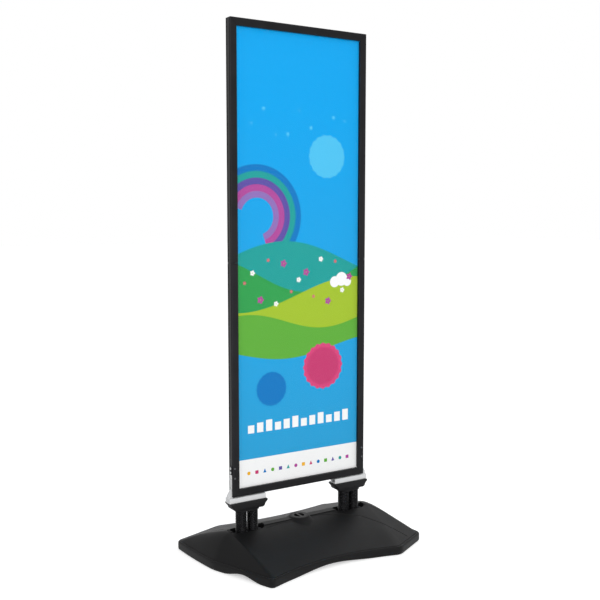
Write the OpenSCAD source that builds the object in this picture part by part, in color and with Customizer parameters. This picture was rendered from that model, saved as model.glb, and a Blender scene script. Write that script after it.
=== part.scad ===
// Spring base poster stand: a double-sided snap frame that stands on two pairs of
// close-wound springs, which are bolted into a water-filled moulded base.
// Millimetres, +Z up, the front looks along -Y, origin on the ground under the centre.

/* [Panel] */
// Width of the poster that shows
view_w = 480; // [400:10:620]
// Height of the poster that shows
view_h = 1500; // [1000:10:1700]
// Front width of a snap rail
rail_w = 25; // [22:1:40]
// Depth of the whole frame over both closed rails
frame_d = 28; // [26:1:40]
// Thickness of a snap rail's front plate
rail_t = 1.4; // [1:0.1:2]
// Height of the frame's lower edge above the ground
frame_z = 212; // [205:1:230]
// Thickness of the backing board
board_t = 4; // [3:0.5:5]
// Thickness of a poster
poster_t = 0.4; // [0.2:0.1:0.6]
// Thickness of a clear cover
cover_t = 0.8; // [0.5:0.1:1.2]

/* [Frame extrusion] */
// Depth of the box extrusion inside the rails
tube_d = 16; // [14:1:18]
// Wall of the box extrusion
tube_wall = 1.6; // [1.2:0.1:2.4]
// Width of the box extrusion
tube_w = 15; // [14:1:18]
// Depth of the slot that holds the board
slot_deep = 4; // [3:0.5:5]
// How far the extrusion stands back from the rail's outer edge
tube_inset = 1; // [0.8:0.1:1.2]
// Radius of a rail's hinge bead
bead_r = 1.6; // [1.2:0.1:1.8]
// Wall of the hinge socket round the bead
socket_wall = 1.1; // [0.8:0.1:1.3]

/* [Springs and heads] */
// Outside diameter of a spring
spring_od = 38; // [34:1:40]
// Diameter of the spring wire
wire_d = 5; // [4:0.5:6]
// Least gap between two curls
curl_gap = 0.5; // [0.45:0.05:2]
// Distance between the two springs of a leg
spring_pitch_x = 43; // [40:1:50]
// Distance from the centre of the stand to the centre of a leg
leg_x = 207; // [190:1:215]
// Length of a spring head at its top
head_len = 138; // [130:1:150]
// Height of a spring head without its neck
head_h = 26; // [24:1:30]
// Depth of a spring head from front to back
head_d = 48; // [44:1:56]
// Height of the neck under a spring head
neck_h = 7; // [5:1:9]

/* [Brackets] */
// Height of a bracket's box section
bracket_h = 16.5; // [14:0.5:20]
// Depth of a bracket from front to back
bracket_d = 30; // [28:1:36]
// Wall of a bracket
bracket_wall = 2.5; // [2:0.5:3]
// How far a bracket reaches up the side of the frame
strap_h = 75; // [70:1:90]

/* [Base] */
// Half length of the base at its end corners
tip_x = 382; // [360:2:400]
// Depth from the panel to the front right end corner
front_tip_y = 197; // [180:1:210]
// Depth from the panel to the back end corners
back_tip_y = 182; // [170:1:200]
// Depth from the panel to the front left foot
front_left_y = 283; // [270:1:290]
// Depth from the panel to the front right foot
front_right_y = 273; // [264:1:290]
// Depth from the panel to the back feet
back_y = 243; // [230:1:270]
// Distance from the middle to the front left foot
front_left_x = 270; // [240:2:290]
// Distance from the middle to the front right foot
front_right_x = 238; // [220:2:260]
// Distance from the middle to the back left foot
back_left_x = 196; // [190:2:260]
// Distance from the middle to the back right foot
back_right_x = 262; // [220:2:280]
// How far the front left end corner is drawn in lengthwise
drawn_in = 20; // [0:2:30]
// Depth from the panel to the drawn-in front left end corner
drawn_y = 52; // [40:2:197]
// How far the front side curves in
front_sag = 44; // [20:2:50]
// How far the back side curves in
back_sag = 22; // [10:2:50]
// How far the right end curves in
end_sag = 6; // [4:1:14]
// How far the left end swells out
left_swell = 4; // [0:1:8]
// Height of the arch under the front and the back side
side_arch = 10; // [6:1:12]
// Height of the arches under the right end and the drawn-in corner's side
end_arch = 14; // [8:1:15]
// Height of the rim
rim_h = 29; // [26:1:34]
// Height of the ridge
ridge_h = 99; // [95:1:104]
// Wall of the moulded tank
tank_wall = 4; // [3:0.5:5]

/* [Filler] */
// Diameter of the filler cap
cap_d = 52; // [48:1:56]
// Diameter of the filler neck bore
neck_bore_d = 44; // [40:1:46]
// Diameter of the raised collar round the cap
collar_d = 70; // [66:1:76]

/* [Hidden] */
$fn = 48;

// Shared clearances
seat_gap = 0.2;
run_gap = 0.05;
soft_gap = 0.3;
overrun = 1;

// Panel places
frame_w = view_w + 2 * rail_w;
frame_h = view_h + 2 * rail_w;
frame_mid_z = frame_z + frame_h / 2;
half_d = frame_d / 2;
plate_back = half_d - rail_t;
bead_u = 3;
bead_v = half_d - rail_t - socket_wall - bead_r - run_gap - seat_gap;
socket_r = bead_r + run_gap + socket_wall;
bore_r = bead_r + run_gap;
rail_edge = 0.4;
arm_t = 1.4;
mouth_share = 0.85;
mouth_w = arm_t * mouth_share;
lip_t = 1.6;
mitre_gap = 0.3;
lip_short = 2;
bead_short = 10;
side_split = 1;
tube_mitre = 0.05;
key_leg = 22;
cover_face = board_t / 2 + poster_t + cover_t;
sheet_inset = tube_inset + tube_w + tube_wall / 2;
slot_h = board_t + 2 * soft_gap;
chamber_w = tube_w - slot_deep - 3 * tube_wall;
chamber_d = tube_d - 2 * tube_wall;
board_w = frame_w - 2 * (tube_inset + tube_w - slot_deep + soft_gap);
board_h = frame_h - 2 * (tube_inset + tube_w - slot_deep + soft_gap);
sheet_w = frame_w - 2 * sheet_inset;
sheet_h = frame_h - 2 * sheet_inset;

// Leaf springs under the rails
leaf_t = 0.6;
leaf_len = 20;
leaf_foot = 3;
leaf_rise = plate_back - tube_d / 2 - soft_gap;
leaf_u = 6.4;
leaf_w = 7;
leaf_margin = 130;
leaf_bar_count = 2;

// Stack from the pocket floor up to the frame
spacer_under = 2.5;
bracket_top = frame_z - spacer_under;
bracket_z = bracket_top - bracket_h;
head_z = bracket_z - head_h;
neck_z = head_z - neck_h;
spring_seat_up = 12;
spring_top = neck_z + spring_seat_up;
pocket_depth = 26;
pocket_z = ridge_h - pocket_depth;
foot_plate_t = 6;
spring_bottom = pocket_z + foot_plate_t;
spring_len = spring_top - spring_bottom;
spring_r = (spring_od - wire_d) / 2;
stub = wire_d;
lead_share = 1.15;
lead = wire_d * lead_share;
coil_len = spring_len - 2 * stub - 2 * lead;
curl_count = floor(coil_len / (wire_d + curl_gap));
curl_pitch = coil_len / curl_count;
curl_rings = 8;
wire_sides = 6;

// Plugs, bolts and pockets
plug_r = spring_r * cos(180 / curl_rings) - wire_d / 2 - seat_gap;
plug_h = 16;
bolt_r = 4;
bolt_hole_r = bolt_r + seat_gap;
bolt_head_r = 6.5;
bolt_head_h = 5.3;
plug_bolt_len = 12;
pocket_len = 128;
pocket_w = 54;
plate_margin = 4.5;
plate_len = pocket_len - 2 * plate_margin;
plate_w = pocket_w - 2 * plate_margin;
foot_bolt_x = 50;
insert_r = 6;
insert_len = 18;
insert_deep = 20;
washer_r = 8;
washer_t = 1.6;
boss_deep = 28;
boss_wall = 5;

// Spring head
head_low_len = 118;
head_round = 10;
neck_len = 88;
neck_w = 46;

// Bracket
bracket_len = 137;
bracket_past = 13;
bracket_out_x = frame_w / 2 + bracket_past;
bracket_in_x = bracket_out_x - bracket_len;
spacer_w = 12;
strap_t = 3;
end_rise = 9;
chamfer_rise = 26;
screw_r = 2.5;
screw_hole_r = screw_r + seat_gap;
screw_head_r = 4.5;
screw_head_h = 2.2;
strap_screw_zs = [30, 62];
bracket_screw_xs = [30, 62];
bracket_screw_len = 9;
side_x = frame_w / 2 - tube_inset;
clamp_h = 28;
clamp_t = 2.2;
clamp_gap = 0.5;
clamp_z = frame_z + strap_h + clamp_gap;
clamp_screw_zs = [7, 21];
rivet_r = 2;
rivet_head_r = 3.4;
rivet_tail_r = 2.6;
rivet_head_h = 1;
rivet_u = 8;
rivet_zs = [64, 97];

// Base outline and rings
lip_in = 5;
lip_drop = 6;
shoulder_in = 11;
draft_in = 4;
foot_pad_w = 30;
edge_h = 5;
rim_wall_share = 0.6;
inset_share = 0.5;
arch_flat_share = 0.34;
ridge_half_l = 276;
ridge_half_w = 13;
ridge_from_x = 240;
ridge_from_y = 182;
brow_in = 6;
brow_drop = 2.5;
slope_shares = [0.3, 0.62, 0.9];
bulge_h = 5;
end_bulge_h = 14;
end_bulge_x = 290;
end_bulge_run = 84;
end_bulge_y = 190;
long_steps = 16;
end_steps = 8;
short_steps = 6;
corner_cut = 16;
corner_steps = 3;

// Filler
collar_h = 4;
collar_seat = 6;
collar_skirt_w = 34;
collar_skirt_h = 20;
cap_flange_h = 5;
cap_skirt_h = 14;
cap_wall = 3;
recess_d = 36;
recess_deep = 6;
grip_w = 8;
cap_z = ridge_h + collar_h - cap_flange_h;
neck_wall = 5;
neck_deep = 24;
seal_wire = 2.4;
cap_skirt_r = neck_bore_d / 2 - run_gap;
seal_r = (cap_skirt_r + cap_d / 2) / 2;

leg_sides = [-1, 1];
front_back = [-1, 1];

// Smooth step from 0 to 1
function ease(t) = t * t * (3 - 2 * t);
// Arch height share along a side, zero over the feet at both ends
function arch_share(t) = ease(max(0, min(1, (min(t, 1 - t) - arch_flat_share / 2) / (0.5 - arch_flat_share / 2))));
// How far a side curves in at share t of its length
function bow(t) = 4 * t * (1 - t);

// Corners of the base with inset d, from the front left foot round by the front right
function base_corners(d) =
  let (e = d * inset_share)
  [
    [-(front_left_x - e), -(front_left_y - d)], [front_right_x - e, -(front_right_y - d)],
    [tip_x - d, -(front_tip_y - e)], [tip_x - d, back_tip_y - e],
    [back_right_x - e, back_y - d], [-(back_left_x - e), back_y - d],
    [-(tip_x - d), back_tip_y - e], [-(tip_x - drawn_in - d), -(drawn_y - e)]
  ];
// The side after each corner: how far it curves in, its arch height and its steps
base_sides = [
  [front_sag, side_arch, long_steps], [0, 0, 1], [end_sag, end_arch, end_steps], [0, 0, 1],
  [back_sag, side_arch, long_steps], [0, 0, 1], [-left_swell, 0, short_steps], [0, end_arch, short_steps]
];
function mix(a, b, t) = a + (b - a) * t;
function bend(a, b, c, t) = mix(mix(a, b, t), mix(b, c, t), t);
function toward(a, b, dist) = a + (b - a) * (dist / norm(b - a));
function inward(a, b) = [a.y - b.y, b.x - a.x] / norm(b - a);
// Points are [x, y, arch height]; a side's first and last points are its corners
function side_run(a, b, side) = [for (i = [0 : side[2]])
  let (t = i / side[2], p = mix(a, b, t) + inward(a, b) * side[0] * bow(t))
  [p.x, p.y, side[1] * arch_share(t)]];
function outline(d) =
  let (
    corners = base_corners(d),
    n = len(corners),
    runs = [for (i = [0 : n - 1]) side_run(corners[i], corners[(i + 1) % n], base_sides[i])]
  )
  [for (i = [0 : n - 1]) let (before = runs[(i + n - 1) % n], after = runs[i], last = len(after) - 1)
    each concat(
      [for (k = [0 : corner_steps]) bend(toward(after[0], before[len(before) - 2], corner_cut), after[0],
        toward(after[0], after[1], corner_cut), k / corner_steps)],
      [for (j = [1 : 1 : last - 1]) after[j]]
    )];

// Ridge ring that the slopes run up to, point for point with the outline
function within(v) = max(-1, min(1, v));
function ridge_point(p, d) = [
  within(p.x / ridge_from_x) * (ridge_half_l - d),
  within(p.y / ridge_from_y) * (ridge_half_w - d * ridge_half_w / ridge_half_l)
];

function at_height(ring, z, arch_scale = 0) = [for (p = ring) [p.x, p.y, z + p.z * arch_scale]];
// How far a slope is blown out over a straight one, more so at the ends
function pillow(p) = bulge_h
  + end_bulge_h * max(0, within((abs(p.x) - end_bulge_x) / end_bulge_run)) * max(0, 1 - pow(p.y / end_bulge_y, 2));
function slope_ring(outer, share, z0, z1) = [for (p = outer)
  let (q = mix([p.x, p.y], ridge_point(p, 0), share))
  [q.x, q.y, mix(z0, z1, share) + pillow(p) * bow(share)]];

// Rings of the tank, from the middle of the underside up to the ridge.
// With inset d it is the inner face of a wall d thick.
function tank_rings(d) =
  let (
    edge = outline(d),
    shoulder = outline(d + shoulder_in),
    top_z = ridge_h - d,
    rim_z = rim_h - d * rim_wall_share
  )
  concat(
    [at_height(outline(d + foot_pad_w), d, 1)],
    [at_height(outline(d + draft_in), d, 1)],
    [at_height(edge, d + edge_h, 1)],
    [at_height(edge, rim_z - lip_drop)],
    [at_height(outline(d + lip_in), rim_z)],
    [at_height(shoulder, rim_z + overrun)],
    [for (s = slope_shares) slope_ring(shoulder, s, rim_z + overrun, top_z - brow_drop)],
    [[for (p = shoulder) let (r = ridge_point(p, 0)) [r.x, r.y, top_z - brow_drop]]],
    [[for (p = shoulder) let (r = ridge_point(p, brow_in)) [r.x, r.y, top_z]]]
  );

module ring_solid(rings) {
  n = len(rings[0]);
  m = len(rings);
  bottom_mid = [0, 0, rings[0][corner_steps + floor(long_steps / 2)].z];
  top_mid = [0, 0, rings[m - 1][0].z];
  points = concat([for (r = rings) each r], [bottom_mid, top_mid]);
  faces = concat(
    [for (j = [0 : m - 2], i = [0 : n - 1]) each [
      [j * n + i, (j + 1) * n + i, j * n + (i + 1) % n],
      [j * n + (i + 1) % n, (j + 1) * n + i, (j + 1) * n + (i + 1) % n]]],
    [for (i = [0 : n - 1]) [i, (i + 1) % n, m * n]],
    [for (i = [0 : n - 1]) [(m - 1) * n + (i + 1) % n, (m - 1) * n + i, m * n + 1]]
  );
  polyhedron(points, faces);
}

// A flat oval, lengthwise along X, standing on z = 0
module oval(length, width, height) {
  linear_extrude(height) {
    square([length - width, width], center = true);
    for (s = leg_sides) translate([s * (length - width) / 2, 0]) circle(d = width);
  }
}

module at_legs() { for (s = leg_sides) translate([s * leg_x, 0, 0]) children(); }
module at_leg_springs() {
  for (s = leg_sides) translate([s * spring_pitch_x / 2, 0, 0]) children();
}
module at_springs() { at_legs() at_leg_springs() children(); }
module at_foot_bolts() { at_legs() for (s = leg_sides) translate([s * foot_bolt_x, 0, 0]) children(); }

// The pockets' bosses and the filler neck, which stand inside the tank
module inner_bosses(gap) {
  at_legs() translate([0, 0, pocket_z - boss_deep - gap])
    oval(pocket_len + 2 * (boss_wall + gap), pocket_w + 2 * (boss_wall + gap), ridge_h);
  translate([0, 0, ridge_h - neck_deep - collar_seat - gap])
    cylinder(r = neck_bore_d / 2 + neck_wall + gap, h = ridge_h);
}

module base_tank() {
  color("#2b2b2d") difference() {
    union() {
      ring_solid(tank_rings(0));
      translate([0, 0, ridge_h - brow_drop - overrun])
        cylinder(d = collar_d, h = collar_h + brow_drop + overrun);
      translate([0, 0, ridge_h - collar_skirt_h])
        cylinder(r1 = collar_d / 2 + collar_skirt_w, r2 = collar_d / 2, h = collar_skirt_h);
    }
    difference() {
      ring_solid(tank_rings(tank_wall));
      inner_bosses(0);
    }
    at_legs() translate([0, 0, pocket_z]) oval(pocket_len, pocket_w, ridge_h);
    translate([0, 0, ridge_h - neck_deep - collar_seat - overrun])
      cylinder(d = neck_bore_d, h = ridge_h);
    translate([0, 0, cap_z]) cylinder(r = cap_d / 2 + seat_gap, h = ridge_h);
    at_foot_bolts() translate([0, 0, pocket_z - insert_deep])
      cylinder(r = insert_r, h = insert_deep + overrun);
  }
}

module ballast_water() {
  color("#7fa7b8") difference() {
    ring_solid(tank_rings(tank_wall + soft_gap));
    inner_bosses(soft_gap);
  }
}

module filler_cap() {
  color("#1d1d1f") difference() {
    union() {
      translate([0, 0, cap_z]) cylinder(d = cap_d, h = cap_flange_h);
      translate([0, 0, cap_z - cap_skirt_h]) cylinder(r = cap_skirt_r, h = cap_skirt_h);
    }
    translate([0, 0, cap_z - cap_skirt_h - overrun])
      cylinder(r = cap_skirt_r - cap_wall, h = cap_skirt_h - recess_deep + cap_flange_h - cap_wall + overrun);
    difference() {
      translate([0, 0, cap_z + cap_flange_h - recess_deep]) cylinder(d = recess_d, h = recess_deep + overrun);
      translate([-grip_w / 2, -recess_d, 0]) cube([grip_w, 2 * recess_d, 2 * ridge_h]);
    }
    translate([0, 0, cap_z]) seal_ring(seal_wire / 2 + seat_gap);
  }
}

module seal_ring(r) {
  rotate_extrude() translate([seal_r, 0]) circle(r = r, $fn = 24);
}

module filler_seal() {
  color("#3a3a3a") intersection() {
    translate([0, 0, cap_z]) seal_ring(seal_wire / 2);
    translate([0, 0, cap_z]) cylinder(r = cap_d, h = cap_d);
  }
}

module foot_plate(s) {
  color("#8d9093") translate([s * leg_x, 0, pocket_z]) difference() {
    oval(plate_len, plate_w, foot_plate_t);
    for (t = leg_sides) translate([t * foot_bolt_x, 0, -overrun])
      cylinder(r = bolt_hole_r, h = foot_plate_t + 2 * overrun);
    at_leg_springs() translate([0, 0, -overrun]) cylinder(r = bolt_hole_r, h = foot_plate_t + 2 * overrun);
    at_leg_springs() translate([0, 0, -overrun]) cylinder(r = bolt_head_r + seat_gap, h = foot_plate_t / 2 + overrun);
  }
}
module foot_plate_left() { foot_plate(-1); }
module foot_plate_right() { foot_plate(1); }

module foot_bolts() {
  top = spring_bottom + washer_t;
  color("#2f3033") at_foot_bolts() {
    translate([0, 0, top]) cylinder(r = bolt_head_r, h = bolt_head_h, $fn = 6);
    translate([0, 0, pocket_z - insert_len + overrun]) cylinder(r = bolt_r, h = top - pocket_z + insert_len - overrun);
  }
}

module foot_washers() {
  color("#9a9c9e") at_foot_bolts() translate([0, 0, spring_bottom]) difference() {
    cylinder(r = washer_r, h = washer_t);
    translate([0, 0, -overrun]) cylinder(r = bolt_hole_r, h = washer_t + 2 * overrun);
  }
}

module foot_inserts() {
  color("#b59a52") at_foot_bolts() translate([0, 0, pocket_z - insert_len]) difference() {
    cylinder(r = insert_r - run_gap, h = insert_len);
    translate([0, 0, -overrun]) cylinder(r = bolt_r + run_gap, h = insert_len + 2 * overrun);
  }
}

module plug() {
  difference() {
    cylinder(r = plug_r, h = plug_h);
    translate([0, 0, -overrun]) cylinder(r = bolt_r + run_gap, h = plug_h + 2 * overrun);
  }
}

module lower_plugs() { color("#6f7275") at_springs() translate([0, 0, spring_bottom]) plug(); }
module upper_plugs() { color("#6f7275") at_springs() translate([0, 0, spring_top - plug_h]) plug(); }

module lower_plug_bolts() {
  color("#54575a") at_springs() {
    translate([0, 0, pocket_z]) cylinder(r = bolt_head_r, h = foot_plate_t / 2);
    translate([0, 0, pocket_z]) cylinder(r = bolt_r, h = foot_plate_t + plug_bolt_len);
  }
}

module head_bolts() {
  floor_z = bracket_z + bracket_wall;
  color("#54575a") at_springs() {
    translate([0, 0, floor_z]) cylinder(r = bolt_head_r, h = bolt_head_h, $fn = 6);
    translate([0, 0, spring_top - plug_bolt_len]) cylinder(r = bolt_r, h = floor_z - spring_top + plug_bolt_len);
  }
}

// Path of a spring wire: a straight stub, the curls, a straight stub
function coil_z(turn) = spring_bottom + stub + lead + curl_pitch * turn;
function coil_at(turn) = [spring_r * cos(360 * turn), spring_r * sin(360 * turn), coil_z(turn)];
coil_path = concat(
  [[spring_r, 0, spring_bottom], [spring_r, 0, spring_bottom + stub]],
  [for (k = [0.5 : 1 : curl_count * curl_rings - 0.5]) coil_at(k / curl_rings)],
  [[spring_r, 0, spring_top - stub], [spring_r, 0, spring_top]]
);
coil_last = len(coil_path) - 1;
coil_curl_points = [for (k = [0 : curl_count * curl_rings]) coil_at(k / curl_rings)];
coil_self_gap = min([for (i = [0 : len(coil_curl_points) - 1], j = [i + 4 : 1 : len(coil_curl_points) - 1])
  norm(coil_curl_points[i] - coil_curl_points[j])]) - wire_d;
stub_self_gap = min([for (j = [curl_rings - 1 : len(coil_path) - 3]) norm(coil_path[1] - coil_path[j])]) - wire_d;
echo(spring_curls = curl_count, pitch = curl_pitch, curl_to_curl_gap = coil_self_gap, stub_to_curl_gap = stub_self_gap);

function unit(v) = v / norm(v);
function path_dir(i) =
  i == 0 || i == coil_last ? [0, 0, 1]
  : unit(unit(coil_path[i] - coil_path[i - 1]) + unit(coil_path[i + 1] - coil_path[i]));
function out_dir(i) = let (p = coil_path[i]) unit([p.x, p.y, 0]);
// Each ring lies square to the path, with one corner away from the spring's axis
function wire_ring(i) =
  let (t = path_dir(i), o = unit(out_dir(i) - t * (out_dir(i) * t)), b = cross(t, o))
  [for (k = [0 : wire_sides - 1])
    coil_path[i] + (o * cos(360 * k / wire_sides) + b * sin(360 * k / wire_sides)) * wire_d / 2];
spring_points = [for (i = [0 : coil_last]) each wire_ring(i)];
spring_faces = concat(
  [for (i = [0 : coil_last - 1], k = [0 : wire_sides - 1])
    let (a = i * wire_sides + k, b = i * wire_sides + (k + 1) % wire_sides)
    each [[a, a + wire_sides, b], [b, a + wire_sides, b + wire_sides]]],
  [for (k = [1 : wire_sides - 2]) [0, k, k + 1]],
  [for (k = [1 : wire_sides - 2])
    [coil_last * wire_sides, coil_last * wire_sides + k + 1, coil_last * wire_sides + k]]
);

module coil_spring(leg, place) {
  color("#26272a") translate([leg * leg_x + place * spring_pitch_x / 2, 0, 0])
    polyhedron(spring_points, spring_faces);
}
module spring_left_outer() { coil_spring(-1, -1); }
module spring_left_inner() { coil_spring(-1, 1); }
module spring_right_inner() { coil_spring(1, -1); }
module spring_right_outer() { coil_spring(1, 1); }

// Boat-shaped head seen from the front, with rounded lower corners
module head_profile() {
  half_top = head_len / 2;
  half_low = head_low_len / 2;
  polygon(concat(
    [[-half_top, head_h], [-half_top, head_h - head_round / 2]],
    [for (a = [0 : 15 : 90])
      [-half_low + head_round - head_round * cos(a), head_round - head_round * sin(a)]],
    [for (a = [90 : -15 : 0])
      [half_low - head_round + head_round * cos(a), head_round - head_round * sin(a)]],
    [[half_top, head_h - head_round / 2], [half_top, head_h]]
  ));
}

module spring_head(s) {
  color("#1c1c1e") translate([s * leg_x, 0, 0]) difference() {
    union() {
      translate([0, head_d / 2, head_z]) rotate([90, 0, 0]) linear_extrude(head_d) head_profile();
      translate([0, 0, neck_z]) oval(neck_len, neck_w, neck_h + head_round);
    }
    at_leg_springs() {
      translate([0, 0, neck_z - overrun]) cylinder(r = spring_od / 2 + seat_gap, h = spring_top - neck_z + overrun);
      cylinder(r = bolt_hole_r, h = bracket_z + overrun);
    }
  }
}
module spring_head_left() { spring_head(-1); }
module spring_head_right() { spring_head(1); }

// Light bracket: a box section on the head, a spacer under the frame and a strap up its side
module bracket() {
  difference() {
    union() {
      translate([bracket_in_x, -bracket_d / 2, bracket_z])
        cube([bracket_out_x - bracket_in_x, bracket_d, bracket_h]);
      translate([0, spacer_w / 2, 0]) rotate([90, 0, 0]) linear_extrude(spacer_w) polygon([
        [bracket_in_x, bracket_top - overrun], [bracket_out_x, bracket_top - overrun],
        [bracket_out_x, bracket_top + end_rise], [side_x + strap_t, bracket_top + chamfer_rise],
        [side_x + strap_t, frame_z + strap_h], [side_x, frame_z + strap_h],
        [side_x, frame_z + tube_inset], [bracket_in_x, frame_z + tube_inset]
      ]);
    }
    translate([bracket_in_x - overrun, -bracket_d / 2 + bracket_wall, bracket_z + bracket_wall])
      cube([bracket_out_x - bracket_in_x - bracket_wall + overrun, bracket_d - 2 * bracket_wall,
        bracket_h - 2 * bracket_wall]);
    translate([leg_x, 0, 0]) at_leg_springs() translate([0, 0, bracket_z - overrun])
      cylinder(r = bolt_hole_r, h = bracket_wall + 2 * overrun);
    for (x = bracket_screw_xs) translate([bracket_in_x + x, 0, bracket_top - bracket_wall - overrun])
      cylinder(r = screw_hole_r, h = bracket_wall + frame_z - bracket_top + 2 * overrun);
    for (z = strap_screw_zs) translate([side_x - overrun, 0, frame_z + z]) rotate([0, 90, 0])
      cylinder(r = screw_hole_r, h = bracket_out_x - side_x);
  }
}
module bracket_left() { color("#d4d5d6") mirror([1, 0, 0]) bracket(); }
module bracket_right() { color("#d4d5d6") bracket(); }

// A pan-head screw on z = 0, its head below and its shank up
module screw(length) {
  translate([0, 0, -screw_head_h]) cylinder(r = screw_head_r, h = screw_head_h);
  cylinder(r = screw_r, h = length);
}

module bracket_screws() {
  color("#a8aaac") for (s = leg_sides, x = bracket_screw_xs)
    translate([s * (bracket_in_x + x), 0, bracket_top - bracket_wall]) screw(bracket_screw_len);
}

module side_screws(zs, z0, face_x, length) {
  for (s = leg_sides, z = zs) translate([s * face_x, 0, z0 + z]) rotate([0, -s * 90, 0]) screw(length);
}

module strap_screws() {
  color("#a8aaac") side_screws(strap_screw_zs, frame_z, side_x + strap_t, strap_t + 3 * tube_wall);
}

module clamp_plate(s) {
  color("#17181a") translate([s * side_x, 0, clamp_z]) mirror([s > 0 ? 0 : 1, 0, 0]) difference() {
    translate([0, -spacer_w / 2, 0]) cube([clamp_t, spacer_w, clamp_h]);
    for (z = clamp_screw_zs) translate([-overrun, 0, z]) rotate([0, 90, 0])
      cylinder(r = screw_hole_r, h = clamp_t + 2 * overrun);
  }
}
module clamp_plate_left() { clamp_plate(-1); }
module clamp_plate_right() { clamp_plate(1); }

module clamp_screws() {
  color("#8c8e90") side_screws(clamp_screw_zs, clamp_z, side_x + clamp_t, clamp_t + 3 * tube_wall);
}

// Bars are drawn lying along X with their outer edge at z = 0 and their middle plane
// at y = 0, then set on one side of the frame.
module on_bottom() { translate([0, 0, frame_z]) children(); }
module on_top() { translate([0, 0, frame_z + frame_h]) mirror([0, 0, 1]) children(); }
module on_left() { translate([-frame_w / 2, 0, frame_mid_z]) rotate([0, 90, 0]) children(); }
module on_right() { mirror([1, 0, 0]) on_left() children(); }

// Trapezoid that cuts a bar's ends to 45 degrees, gap short of its corners
module mitre_block(length, gap) {
  h = length / 2 - gap;
  translate([0, frame_d, 0]) rotate([90, 0, 0]) linear_extrude(2 * frame_d)
    polygon([[-h, 0], [h, 0], [h - rail_w * 2, rail_w * 2], [-h + rail_w * 2, rail_w * 2]]);
}

// Section of the box extrusion: first coordinate from the outer edge in, second the depth
module tube_section() {
  difference() {
    translate([tube_inset, -tube_d / 2]) square([tube_w, tube_d]);
    translate([tube_inset + tube_wall, -chamber_d / 2]) square([chamber_w, chamber_d]);
    translate([tube_inset + tube_w - slot_deep, -slot_h / 2]) square([slot_deep + overrun, slot_h]);
  }
}

// Socket that the rail's bead turns in, open towards the front and the outer side
module socket_section() {
  difference() {
    union() {
      translate([bead_u, bead_v]) circle(r = socket_r);
      translate([bead_u, tube_d / 2 - tube_wall]) square([socket_r, bead_v - tube_d / 2 + tube_wall]);
    }
    translate([bead_u, bead_v]) circle(r = bore_r);
    translate([bead_u, bead_v]) rotate(90) translate([-mouth_w, 0])
      square([2 * frame_d, frame_d]);
    translate([bead_u - frame_d, bead_v - mouth_w]) square([frame_d, frame_d]);
    translate([bead_u, bead_v]) rotate(90) translate([-mouth_w, -mouth_w]) square(frame_d);
  }
}

module bar(length) {
  rotate([90, 0, 90]) translate([0, 0, -length / 2]) linear_extrude(length) children();
}

module frame_bar(length, colour) {
  color(colour) {
    intersection() {
      bar(length) turn_section() tube_section();
      mitre_block(length, tube_mitre);
    }
    for (s = front_back) bar(length - 2 * bead_short) turn_section()
      mirror([0, s > 0 ? 0 : 1]) socket_section();
  }
}
// Sections are drawn as [from the edge in, depth]; a bar needs [depth, from the edge in]
module turn_section() { mirror([1, -1]) children(); }

module frame_top() { on_top() frame_bar(frame_w, "#2a2b2d"); }
module frame_bottom() { on_bottom() screwed_bar(); }
module frame_left() { on_left() screwed_side(); }
module frame_right() { on_right() screwed_side(); }

module screwed_bar() {
  difference() {
    frame_bar(frame_w, "#2a2b2d");
    for (s = leg_sides, x = bracket_screw_xs) translate([s * (bracket_in_x + x), 0, 0])
      cylinder(r = screw_hole_r, h = tube_inset + tube_wall + overrun);
  }
}
module screwed_side() {
  difference() {
    frame_bar(frame_h, "#2a2b2d");
    for (z = concat(strap_screw_zs, [for (c = clamp_screw_zs) c + clamp_z - frame_z]))
      translate([frame_h / 2 - z, 0, 0]) cylinder(r = screw_hole_r, h = tube_inset + tube_wall + overrun);
  }
}

module corner_keys() {
  key_d = chamber_d - 2 * seat_gap;
  key_w = chamber_w - 2 * seat_gap;
  key_u = tube_inset + tube_wall + seat_gap;
  color("#77797c") for (sx = leg_sides, sz = leg_sides)
    translate([0, 0, frame_mid_z]) mirror([sx > 0 ? 0 : 1, 0, 0]) mirror([0, 0, sz > 0 ? 0 : 1])
      translate([frame_w / 2 - key_u, -key_d / 2, frame_h / 2 - key_u]) {
        translate([-key_leg, 0, -key_w]) cube([key_leg, key_d, key_w]);
        translate([-key_w, 0, -key_leg]) cube([key_w, key_d, key_leg]);
      }
}

// A flat sheet centred on the panel, from depth y0 to y1
module sheet(width, height, y0, y1) {
  translate([-width / 2, y0, frame_mid_z - height / 2]) cube([width, y1 - y0, height]);
}
module backing_board() { color("#e9e9e6") sheet(board_w, board_h, -board_t / 2, board_t / 2); }
module poster_front() { color("#1f9fe0") sheet(sheet_w, sheet_h, -board_t / 2 - poster_t, -board_t / 2); }
module poster_back() { color("#1f9fe0") sheet(sheet_w, sheet_h, board_t / 2, board_t / 2 + poster_t); }
module cover_front() { color("#dfeff5", 0.3) sheet(sheet_w, sheet_h, -cover_face, -board_t / 2 - poster_t); }
module cover_back() { color("#dfeff5", 0.3) sheet(sheet_w, sheet_h, board_t / 2 + poster_t, cover_face); }

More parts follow.
